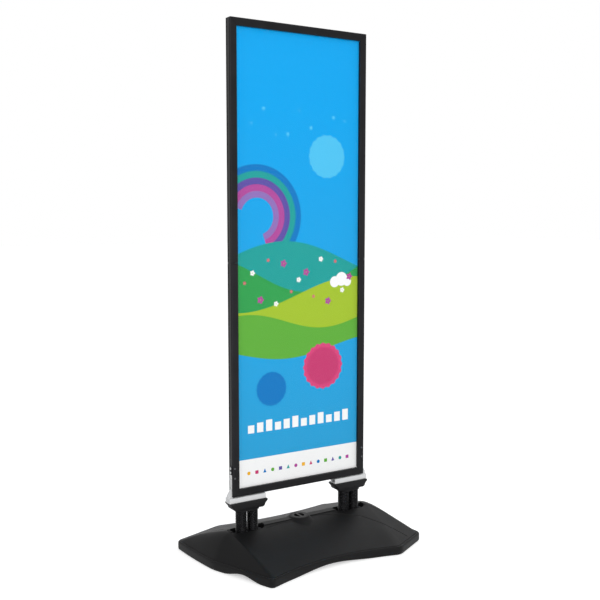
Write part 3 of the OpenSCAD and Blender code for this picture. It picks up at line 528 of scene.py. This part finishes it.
# Springs and heads
def make_spring(name, x):
    """A close-wound spring of round wire with closed ends, standing between the base and the panel."""
    z0, z1 = SPRING_Z0 + WIRE_R, SPRING_Z1 - WIRE_R
    per_curl = 24
    path = []
    for k in range(CURLS * per_curl + 1):
        turn = k / per_curl
        a = 2 * math.pi * turn
        path.append((x + SPRING_R * math.cos(a), SPRING_R * math.sin(a), z0 + (z1 - z0) * turn / CURLS))
    spring = piece("wound_" + name, *tube_along(path, WIRE_R), SPRING_WIRE, None, "spring_steel", (name,),
                   smooth=50)
    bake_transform(spring)


def head_outline():
    """The boat-shaped head from the front: flat top, raked ends, rounded lower corners."""
    top, low, r = HEAD_LEN / 2, HEAD_LOW / 2, HEAD_ROUND
    left = [(-top, HEAD_H), (-top, HEAD_H - HEAD_RAKE_H)]
    turns = [math.radians(a) for a in range(0, 91, 15)]
    left += [(-low + r - r * math.cos(a), r - r * math.sin(a)) for a in turns]
    return left + [(-x, z) for x, z in reversed(left)]


def make_head(name, x):
    """A moulded nylon head with rounded edges, over an oval neck with a socket for each spring."""
    front = [(x + u, -HEAD_D / 2, HEAD_Z + w) for u, w in head_outline()]
    body = piece("body_tool", *loft([front, [(px, HEAD_D / 2, pz) for px, _, pz in front]]), NYLON, None)
    rounded(body, HEAD_EDGE, angle=28, segments=3)
    settle(body)
    z0 = HEAD_Z - NECK_H
    neck = [oval_ring(NECK_LEN + wider, NECK_W + wider, z, x)
            for wider, z in ((-2, z0), (0, z0 + 1), (0, HEAD_Z - 1.5), (4, HEAD_Z + 4))]
    carved(body, [piece("neck_tool", *loft(neck), NYLON, None)], "UNION")
    sockets = []
    for s in SIDES:
        middle = (x + s * SPRING_APART / 2, 0)
        well = [disc_ring(SOCKET_R, z, middle, 40) for z in (z0 - 3, SOCKET_TOP)]
        sockets.append(piece("socket_tool", *loft(well), NYLON, None))
    carved(body, sockets, smooth=30)
    body.name = "moulded_" + name
    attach(body, "panel")
    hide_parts(name)


# Snap frame. A rail's sections are (from the frame's outer edge in, depth): crowned face, hinge arm with its
# bead, pressing lip.
RAIL_FACE = ((0.4, 12.9), (0.4, 13.2), (0.75, 13.62), (1.6, 13.82), (5, 13.93), (12.5, 14.0), (20, 13.93),
             (23.6, 13.82), (24.6, 13.6), (25, 13.1), (25, 12.6), (0.7, 12.6))
RAIL_ARM = ((4.4, 13.0), (4.4, 12.6), (3.7, 11.9), (3.7, 11.3), (4.35, 10.5), (4.6, 9.65), (4.1, 8.5),
            (3, 8.05), (1.9, 8.5), (1.4, 9.65), (1.65, 10.5), (2.3, 11.3), (2.3, 11.9), (1.6, 12.6),
            (1.6, 13.0))
RAIL_LIP = ((24.9, 13.0), (24.9, 3.9), (24.6, 3.5), (23.8, 3.5), (23.5, 3.9), (23.5, 12.1), (23.0, 12.6),
            (23.0, 13.0))
# How far each stays back from a mitred corner, and both halves of a side from its split
MITRE_GAP, ARM_SHORT, LIP_SHORT, SPLIT_GAP = 0.3, 10, 27, 0.5
# Each side's rails as (name ending, start, stop, start mitred, stop mitred); 1 is half the side's length
WHOLE = (("", -1, 1, True, True),)
HALVES = (("_upper", 0, 1, False, True), ("_lower", -1, 0, True, False))
RAIL_RUNS = {"top": WHOLE, "bottom": WHOLE, "left": HALVES, "right": HALVES}


def rail_run(section, back, where, depth_side, lengthways):
    """One section run along its side of the frame; back gives how far it keeps from a mitred corner at u."""
    half = (FRAME_H if where in ("left", "right") else FRAME_W) / 2
    start, stop, mitre_start, mitre_stop = lengthways
    rings = []
    for end, mitred, sign in ((start, mitre_start, 1), (stop, mitre_stop, -1)):
        ring = []
        for u, v in section:
            along = end * half + sign * (back(u) if mitred else SPLIT_GAP)
            spot = {"left": (-FRAME_W / 2 + u, MID_Z + along), "right": (FRAME_W / 2 - u, MID_Z + along),
                    "top": (along, FRAME_Z + FRAME_H - u), "bottom": (along, FRAME_Z + u)}[where]
            ring.append((spot[0], depth_side * v, spot[1]))
        rings.append(ring)
    return loft(rings)


def make_rail(body, where, depth_side, lengthways):
    """One snap rail: a mitred face, with the hinge arm and the pressing lip behind it."""
    run = (where, depth_side, lengthways)
    rail = piece("anodised_" + body, *rail_run(RAIL_FACE, lambda u: u + MITRE_GAP, *run), RAIL_BLACK, None)
    behind = [piece("arm_tool", *rail_run(RAIL_ARM, lambda u: ARM_SHORT, *run), RAIL_BLACK, None),
              piece("lip_tool", *rail_run(RAIL_LIP, lambda u: LIP_SHORT, *run), RAIL_BLACK, None)]
    carved(rail, behind, "UNION", smooth=24)
    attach(rail, body)
    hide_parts(body)


def make_rails():
    """All 12 snap rails, six on each face of the panel."""
    for face, depth_side in FACES:
        for where, runs in RAIL_RUNS.items():
            for ending, *run in runs:
                make_rail(f"{face}_rail_{where}{ending}", where, depth_side, run)


# Small fastenings. A turned head is drawn as (radius, height) pairs.
RIVET_SHAPE = ((2.0, -2.2), (2.0, -1.2), (3.4, 0), (3.35, 0.3), (3.0, 0.62), (2.2, 0.86), (1.1, 0.97),
               (0.15, 1.0))
PAN_SHAPE = ((2.4, -0.2), (4.5, 0), (4.5, 0.6), (4.3, 1.2), (3.7, 1.75), (2.8, 2.05), (2.3, 2.12),
             (1.6, 2.17), (0.9, 2.19), (0.2, 2.2))
SHANK_SHAPE = ((2.5, -7.5), (2.5, -0.1), (2.4, 0))
CROSS_R, CROSS_HALF_W, CROSS_DEEP, CROSS_FROM = 2.4, 0.55, 1.1, 0.5
RIVET_X, RIVET_ZS = FRAME_W / 2 - 8, (FRAME_Z + 64, FRAME_Z + 97)
# Screws as (node, distance of the seat from the middle, heights)
SIDE_SCREWS = (("strap_screws", FRAME_W / 2 + 2, (FRAME_Z + 30, FRAME_Z + 62)),
               ("clamp_screws", FRAME_W / 2 + 1.2, (FRAME_Z + 82.5, FRAME_Z + 96.5)))


def turned_head(profile, at, axis, recess=0.0, steps=32):
    """A turned head from (radius, height) pairs on an axis; recess sinks a cross into its crown."""
    axis = Vector(axis)
    u = axis.orthogonal().normalized()
    w = axis.cross(u)
    rings = []
    for r, h in profile:
        ring = []
        for k in range(steps):
            a = 2 * math.pi * k / steps
            x, y = r * math.cos(a), r * math.sin(a)
            in_cross = r < CROSS_R and min(abs(x), abs(y)) < CROSS_HALF_W and h > CROSS_FROM
            sink = recess if in_cross else 0
            ring.append(tuple(Vector(at) + u * x + w * y + axis * (h - sink)))
        rings.append(ring)
    return loft(rings)


def make_fastenings():
    """Domed rivets on the lower side rails, and cross-recess pan screws on the straps and clamp plates."""
    for face, sy in FACES:
        for where, sx in ENDS:
            heads = [turned_head(RIVET_SHAPE, (sx * RIVET_X, sy * HALF_DEPTH, z), (0, sy, 0))
                     for z in RIVET_ZS]
            piece(f"domed_rivets_{face}_{where}", *joined(heads), RIVET_STEEL, f"{face}_rail_{where}_lower",
                  "bolt_steel", (f"rivets_{face}_{where}",), smooth=40)
    for name, x, zs in SIDE_SCREWS:
        heads = []
        for side in SIDES:
            for z in zs:
                heads.append(turned_head(PAN_SHAPE, (side * x, 0, z), (side, 0, 0), recess=CROSS_DEEP))
                heads.append(turned_head(SHANK_SHAPE, (side * x, 0, z), (side, 0, 0)))
        piece("pan_" + name, *joined(heads), BRIGHT_ZINC, "panel", "bolt_steel", (name,), smooth=40)


# Poster print. Each ink is two close tones; places are shares of the visible poster's width and height.
INK_TONES = {"deep_blue": ("#0b78c4", "#0f7cc6"), "sky_pale": ("#4cc3f2", "#54c6f3"),
             "teal": ("#1f9f9c", "#25a49c"), "green": ("#2f9e4f", "#37a552"),
             "lime": ("#a2c22c", "#abc834"), "leaf": ("#5fae3a", "#66b23e"),
             "plum": ("#5d4fa3", "#6455a8"), "plum_soft": ("#8f6fb8", "#9575bb"),
             "magenta": ("#b04a9b", "#b7509f"), "pink": ("#d9457c", "#de4c82"),
             "pink_deep": ("#c93a70", "#cd4176"), "amber": ("#f0b224", "#f2b72e"),
             "white": ("#fafbfb", "#fdfdfd")}
INKS = {"sky": graded_sky(), **{name: ink(name, *tones) for name, tones in INK_TONES.items()}}
# The first ink stands this far off the paper, and each later one this far off the one under it
INK_LIFT, INK_STEP = 0.004, 0.006
# A band of ink runs this far past the visible width, and the sky and foot strip this far past the height
BLEED_U, BLEED_V = 0.017, 0.006
ARC_INKS = ("deep_blue", "teal", "plum", "magenta", "plum_soft")
ARC_U, ARC_V, ARC_R, ARC_WIDE, ARC_FROM, ARC_TO = 0.16, 0.60, 0.33, 0.045, -70, 160
# Hills as (height, swing, pace, shift, ink); they all reach down to one line
HILLS = ((0.50, 0.045, 3.1, 0.4, "teal"), (0.47, 0.04, 4.2, 2.4, "green"), (0.425, 0.035, 3.4, 4.6, "lime"),
         (0.365, 0.02, 5.0, 1.2, "leaf"))
HILL_FOOT, HILL_FOOT_SWING = 0.30, 0.02
# Plain discs as (across, up, radius, ink, scallops, scallop depth); none is lettered
DISCS = ((0.73, 0.735, 0.15, "sky_pale", 18, 0.035), (0.70, 0.255, 0.165, "pink", 20, 0.04),
         (0.70, 0.255, 0.135, "pink_deep"), (0.27, 0.215, 0.12, "deep_blue", 20, 0.04),
         (0.86, 0.455, 0.05, "white"), (0.80, 0.449, 0.04, "white"), (0.91, 0.449, 0.035, "white"))
FLOWERS, MOTES, BARS, MARKS = 15, 9, 12, 14
FLOWER_INKS = ("pink", "white", "magenta")
BAR_LOW, BAR_HIGH, BAR_STEP, BAR_WIDE = 0.120, 0.138, 0.004, 0.05
STRIP_TOP, MARK_AT, MARK_R, MARK_HALF_H, MARK_TIP = 0.062, 0.03, 0.013, 0.004, 0.0355
MARK_INKS = ("amber", "pink_deep", "deep_blue", "leaf", "plum", "teal", "magenta")


def make_print(face, sy, mirrored):
    """A generic bright poster: graded sky, arcs, crossing hill bands, plain discs and dots, and a white foot
    strip with small marks. Every shape is a flat ink layer, a hair in front of the one under it."""
    names = list(INKS)
    points, faces, kinds = [], [], []
    layer = 0

    def spot(u, v):
        """u and v are shares of the visible poster, from its lower left corner as read."""
        x = max(-SHEET_W / 2, min(SHEET_W / 2, (u - 0.5) * VIEW_W)) * mirrored
        return (x, sy * (POSTER_FACE + INK_LIFT + INK_STEP * layer), FRAME_Z + RAIL_W + v * VIEW_H)

    def lay(ring, kind):
        """One flat shape of ink."""
        start = len(points)
        points.extend(spot(u, v) for u, v in ring)
        faces.append(tuple(range(start, start + len(ring))))
        kinds.append(names.index(kind))

    def band(upper, lower, kind, steps=60):
        """A band of ink across the sheet between two curves."""
        nonlocal layer
        lo, hi = -BLEED_U, 1 + BLEED_U
        us = [lo + (hi - lo) * k / steps for k in range(steps + 1)]
        start = len(points)
        points.extend(spot(u, upper(u)) for u in us)
        points.extend(spot(u, lower(u)) for u in us)
        n = len(us)
        for k in range(n - 1):
            faces.append((start + k, start + k + 1, start + n + k + 1, start + n + k))
            kinds.append(names.index(kind))
        layer += 1

    def disc(u, v, r, kind, petals=0, depth=0.0, steps=72):
        """A disc of radius r, a share of the width; petals scallop its edge."""
        nonlocal layer
        ring = []
        for k in range(steps):
            a = 2 * math.pi * k / steps
            q = r * (1 + depth * math.cos(petals * a)) if petals else r
            ring.append((u + q * math.cos(a), v + q * math.sin(a) * VIEW_W / VIEW_H))
        lay(ring, kind)
        layer += 1

    def arc(r, kind, steps=72):
        """Part of a ring of ink."""
        nonlocal layer
        start = len(points)
        for k in range(steps + 1):
            a = math.radians(ARC_FROM + (ARC_TO - ARC_FROM) * k / steps)
            for q in (r - ARC_WIDE / 2, r + ARC_WIDE / 2):
                points.append(spot(ARC_U + q * math.cos(a), ARC_V + q * math.sin(a) * VIEW_W / VIEW_H))
        for k in range(steps):
            faces.append((start + 2 * k, start + 2 * k + 1, start + 2 * k + 3, start + 2 * k + 2))
            kinds.append(names.index(kind))
        layer += 1

    band(lambda u: 1 + BLEED_V, lambda u: -BLEED_V, "sky")
    # Soft arcs behind the hills
    for k, kind in enumerate(ARC_INKS):
        arc(ARC_R - ARC_WIDE * k, kind)
    for top, swing, pace, shift, kind in HILLS:
        band(lambda u: top + swing * math.sin(pace * u + shift),
             lambda u: HILL_FOOT - HILL_FOOT_SWING * math.sin(4 * u), kind)
    for plain in DISCS:
        disc(*plain)
    # Flower dots over the hills
    for k in range(FLOWERS):
        u, v = 0.06 + 0.062 * k, 0.455 + 0.05 * math.sin(2.7 * k)
        disc(u, v, 0.011 + 0.006 * (k % 3), FLOWER_INKS[k % 3], 5, 0.25, 30)
        disc(u, v, 0.004, "lime", steps=10)
    # Light motes in the sky
    for k in range(MOTES):
        u, v = 0.12 + 0.095 * k, 0.80 + 0.035 * math.sin(1.9 * k)
        disc(u, v, 0.008 + 0.005 * (k % 2), "sky_pale", steps=24)
    # A row of plain bars, then the white foot strip with its small marks
    for k in range(BARS):
        left, top = 0.08 + 0.072 * k, BAR_HIGH + BAR_STEP * (k % 3)
        lay([(left, BAR_LOW), (left + BAR_WIDE, BAR_LOW), (left + BAR_WIDE, top), (left, top)], "white")
    layer += 1
    band(lambda u: STRIP_TOP, lambda u: -BLEED_V, "white")
    for k in range(MARKS):
        u, kind = 0.085 + 0.064 * k, MARK_INKS[k % len(MARK_INKS)]
        if k % 3 == 0:
            disc(u, MARK_AT, MARK_R, kind, steps=24)
            continue
        low, high = MARK_AT - MARK_HALF_H, MARK_AT + MARK_HALF_H
        top = [(u + MARK_R, high), (u - MARK_R, high)] if k % 3 == 1 else [(u, MARK_TIP)]
        lay([(u - MARK_R, low), (u + MARK_R, low), *top], kind)
        layer += 1
    # The paper behind the ink
    back = len(points)
    w, h = SHEET_W / 2, SHEET_H / 2
    for y in (POSTER_BACK, POSTER_FACE):
        points.extend((x, sy * y, MID_Z + z) for x, z in ((-w, -h), (w, -h), (w, h), (-w, h)))
    for f in ((0, 1, 2, 3), (4, 5, 6, 7), (0, 1, 5, 4), (1, 2, 6, 5), (2, 3, 7, 6), (3, 0, 4, 7)):
        faces.append(tuple(back + i for i in f))
        kinds.append(len(names))
    piece(f"printed_poster_{face}", points, faces, [*INKS.values(), PAPER], "panel", "paper",
          (f"poster_{face}",), smooth=30, face_finish=kinds)


def make_cover(face, sy):
    """The clear film over a poster: a thin sheet that bows by a few tenths between its edges."""
    nx, nz = 6, 18
    sheets = []
    for y, bowed in ((COVER_BACK, 0), (COVER_FACE, FILM_BOW)):
        grid = []
        for j in range(nz + 1):
            uneven = 0.5 + 0.5 * math.sin(j * 1.1) ** 2
            for i in range(nx + 1):
                x, z = (i / nx - 0.5) * SHEET_W, MID_Z + (j / nz - 0.5) * SHEET_H
                grid.append((x, sy * (y - bowed * bow(i / nx) * uneven), z))
        sheets.append(grid)
    n, row = len(sheets[0]), nx + 1
    faces = []
    for j in range(nz):
        for i in range(nx):
            a = j * row + i
            faces.append((a, a + 1, a + row + 1, a + row))
            faces.append((n + a, n + a + row, n + a + row + 1, n + a + 1))
    edge = (list(range(nx)) + [nx + row * j for j in range(nz)] + [nz * row + nx - i for i in range(nx)]
            + [row * (nz - j) for j in range(nz)])
    for k, a in enumerate(edge):
        b = edge[(k + 1) % len(edge)]
        faces.append((a, b, n + b, n + a))
    piece(f"clear_cover_{face}", sheets[0] + sheets[1], faces, CLEAR_FILM, "panel", "clear_sheet",
          (f"cover_{face}",), smooth=60)


# CAD nodes that stay
def dress(node, finish, width):
    """A CAD node keeps its shape and place; it gets its finish and, if asked, small rounds on its edges."""
    obj = CAD[node]
    obj.data.materials.clear()
    obj.data.materials.append(finish)
    if width:
        weld = obj.modifiers.new("weld", "WELD")
        weld.merge_threshold = WELD_NEAR * MM
        rounded(obj, width)


# Points nearer than this are joined before an edge is rounded
WELD_NEAR = 0.005
# Each node as (finish, round on its edges)
KEPT_NODES = {
    "filler_cap": (CAP_PLASTIC, 0.7), "filler_seal": (SEAL_RUBBER, 0), "ballast_water": (WATER, 0),
    "foot_plate_left": (FOOT_STEEL, 0.6), "foot_plate_right": (FOOT_STEEL, 0.6),
    "foot_bolts": (BOLT_STEEL, 0.5), "foot_washers": (BRIGHT_ZINC, 0.2), "foot_inserts": (BRASS, 0),
    "lower_plugs": (FOOT_STEEL, 0.6), "lower_plug_bolts": (BOLT_STEEL, 0), "upper_plugs": (FOOT_STEEL, 0.6),
    "head_bolts": (BOLT_STEEL, 0.5), "bracket_left": (POWDER_COAT, 0.5), "bracket_right": (POWDER_COAT, 0.5),
    "bracket_screws": (BRIGHT_ZINC, 0), "clamp_plate_left": (CLAMP_BLACK, 0.4),
    "clamp_plate_right": (CLAMP_BLACK, 0.4), "frame_top": (TUBE_BLACK, 0.25),
    "frame_bottom": (TUBE_BLACK, 0.25), "frame_left": (TUBE_BLACK, 0.25),
    "frame_right": (TUBE_BLACK, 0.25), "corner_keys": (BRIGHT_ZINC, 0),
    "backing_board": (BOARD, 0), "leaf_springs_front": (LEAF_STEEL, 0), "leaf_springs_back": (LEAF_STEEL, 0),
}


# Room and camera. Lengths here are in metres, lamps as (name, place, aim, size, watts).
FLOOR_HALF, FLOOR_GLOW = 30, 0.5
WORLD_LIGHT, WORLD_SEEN = 0.72, 1.0
LAMPS = (("window_right", (2.6, 0.8, 3.2), (0, 0, 0.6), 2.4, 24),
         ("fill_front", (-1.0, -4.2, 2.2), (0, 0, 0.9), 2.6, 75))
# The photograph's viewing angle: the focal length as a share of the frame's width, and the view in degrees
SENSOR_MM, FOCAL_SHARE = 36, 882.4 / 600
CAMERA_AT, CAMERA_DOWN, CAMERA_TURN = (-1.5762, -2.5363, 1.1411), 5.494, -31.919


def seen_share(tree):
    """1 for rays from the camera, off gloss or through clear film, 0 for rays that only light things."""
    seen = add(tree, "ShaderNodeLightPath").outputs
    straight = add(tree, "ShaderNodeMath", {"operation": "MAXIMUM"},
                   {0: seen["Is Camera Ray"], 1: seen["Is Glossy Ray"]}).outputs[0]
    return add(tree, "ShaderNodeMath", {"operation": "MAXIMUM"},
               {0: straight, 1: seen["Is Transmission Ray"]}).outputs[0]


def make_room():
    """A plain pale floor that keeps the stand's shadow, and soft even light."""
    r = FLOOR_HALF
    floor_mesh = bpy.data.meshes.new("pale_floor")
    floor_mesh.from_pydata([(-r, -r, 0), (r, -r, 0), (r, r, 0), (-r, r, 0)], [], [(0, 1, 2, 3)])
    floor = bpy.data.objects.new("pale_floor", floor_mesh)
    bpy.context.scene.collection.objects.link(floor)
    # Matt floor paint: even pale grey that glows a little towards the camera, so that it melts into the room
    paint = bpy.data.materials.new("matt_floor_paint")
    paint.use_nodes = True
    tree = paint.node_tree
    shell = tree.nodes["Principled BSDF"]
    shell.inputs["Base Color"].default_value = linear("#e4e4e4")
    shell.inputs["Roughness"].default_value = 0.9
    shell.inputs["Specular IOR Level"].default_value = 0.1
    shell.inputs["Emission Color"].default_value = linear("#ffffff")
    glow = add(tree, "ShaderNodeMath", {"operation": "MULTIPLY", 1: FLOOR_GLOW},
               {0: seen_share(tree)}).outputs[0]
    tree.links.new(glow, shell.inputs["Emission Strength"])
    floor_mesh.materials.append(paint)

    world = bpy.data.worlds.new("studio")
    bpy.context.scene.world = world
    world.use_nodes = True
    tree = world.node_tree
    sky = tree.nodes["Background"]
    sky.inputs["Color"].default_value = linear("#ffffff")
    level = add(tree, "ShaderNodeMapRange", {"To Min": WORLD_LIGHT, "To Max": WORLD_SEEN},
                {"Value": seen_share(tree)}).outputs[0]
    tree.links.new(level, sky.inputs["Strength"])

    for name, place, aim, size, power in LAMPS:
        lamp = bpy.data.lights.new(name, "AREA")
        lamp.size, lamp.energy = size, power
        lamp_object = bpy.data.objects.new(name, lamp)
        lamp_object.location = place
        lamp_object.rotation_euler = (Vector(aim) - Vector(place)).to_track_quat("-Z", "Y").to_euler()
        bpy.context.scene.collection.objects.link(lamp_object)
    bpy.context.scene.view_settings.view_transform = "Standard"


def make_camera():
    """The photograph's view, without blur."""
    camera = bpy.data.cameras.new("photo_view")
    camera.sensor_width = SENSOR_MM
    camera.lens = FOCAL_SHARE * SENSOR_MM
    camera.dof.use_dof = False
    camera_object = bpy.data.objects.new("photo_view", camera)
    camera_object.location = CAMERA_AT
    camera_object.rotation_euler = (math.radians(90 - CAMERA_DOWN), 0, math.radians(CAMERA_TURN))
    bpy.context.scene.collection.objects.link(camera_object)
    bpy.context.scene.camera = camera_object


make_camera()
make_room()
make_base()
for word, side in ENDS:
    for place, part in ((side, "outer"), (-side, "inner")):
        make_spring(f"spring_{word}_{part}", side * LEG_X + place * SPRING_APART / 2)
    make_head(f"spring_head_{word}", side * LEG_X)
make_rails()
make_fastenings()
for face, sy in FACES:
    make_print(face, sy, -sy)
    make_cover(face, sy)
for node, (finish, width) in KEPT_NODES.items():
    dress(node, finish, width)
